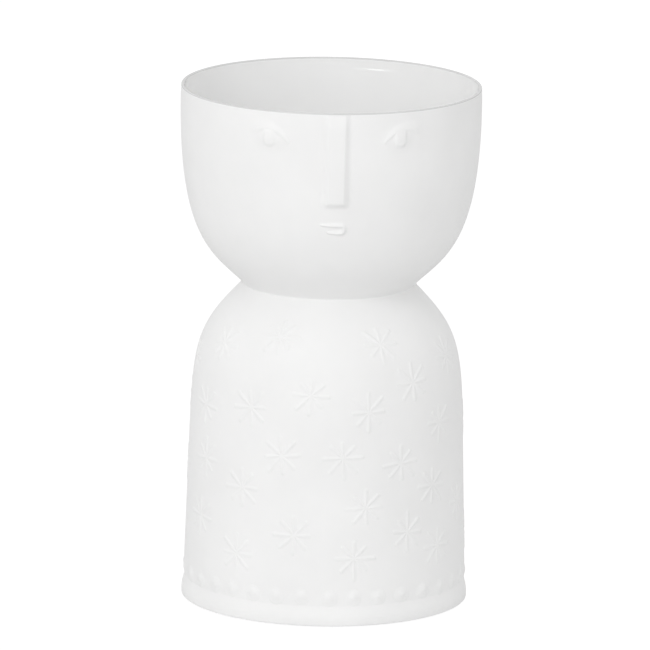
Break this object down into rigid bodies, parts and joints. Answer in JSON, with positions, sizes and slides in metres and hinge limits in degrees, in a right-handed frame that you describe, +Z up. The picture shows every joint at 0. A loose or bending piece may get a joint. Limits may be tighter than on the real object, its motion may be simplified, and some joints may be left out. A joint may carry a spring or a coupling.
{
  "type": "vase",
  "caption": "White matt porcelain flower vase: an open bowl head with a small relief face on a bell-shaped body with relief stars and a beaded hem.",
  "frame": {"origin": "centre of the foot, on the surface that the vase stands on", "axes": "+Z up along the turning axis, -Y out of the face, +X towards the right eye as the viewer sees it"},
  "size_m": [0.1, 0.1015, 0.1737],
  "materials": {
    "bisque": "matt white bisque porcelain, glazed inside"
  },
  "bodies": {
    "root": {"head_bowl": "bisque", "body_bell": "bisque", "floor_slab": "bisque", "beaded_hem": "bisque", "nose": "bisque", "left_eye": "bisque", "right_eye": "bisque", "mouth": "bisque", "star_01": "bisque", "star_02": "bisque", "star_03": "bisque", "star_04": "bisque", "star_05": "bisque", "star_06": "bisque", "star_07": "bisque", "star_08": "bisque", "star_09": "bisque", "star_10": "bisque", "star_11": "bisque", "star_12": "bisque", "star_13": "bisque", "star_14": "bisque", "star_15": "bisque", "star_16": "bisque", "star_17": "bisque", "star_18": "bisque", "star_19": "bisque", "star_20": "bisque", "star_21": "bisque", "star_22": "bisque", "star_23": "bisque", "star_24": "bisque", "star_25": "bisque", "star_26": "bisque", "star_27": "bisque", "star_28": "bisque", "star_29": "bisque", "star_30": "bisque", "star_31": "bisque", "star_32": "bisque", "star_33": "bisque", "star_34": "bisque", "star_35": "bisque", "star_36": "bisque", "star_37": "bisque", "star_38": "bisque", "star_39": "bisque", "star_40": "bisque", "star_41": "bisque", "star_42": "bisque", "star_43": "bisque", "star_44": "bisque", "star_45": "bisque", "star_46": "bisque", "star_47": "bisque", "star_48": "bisque", "star_49": "bisque", "star_50": "bisque"}
  },
  "joints": []
}
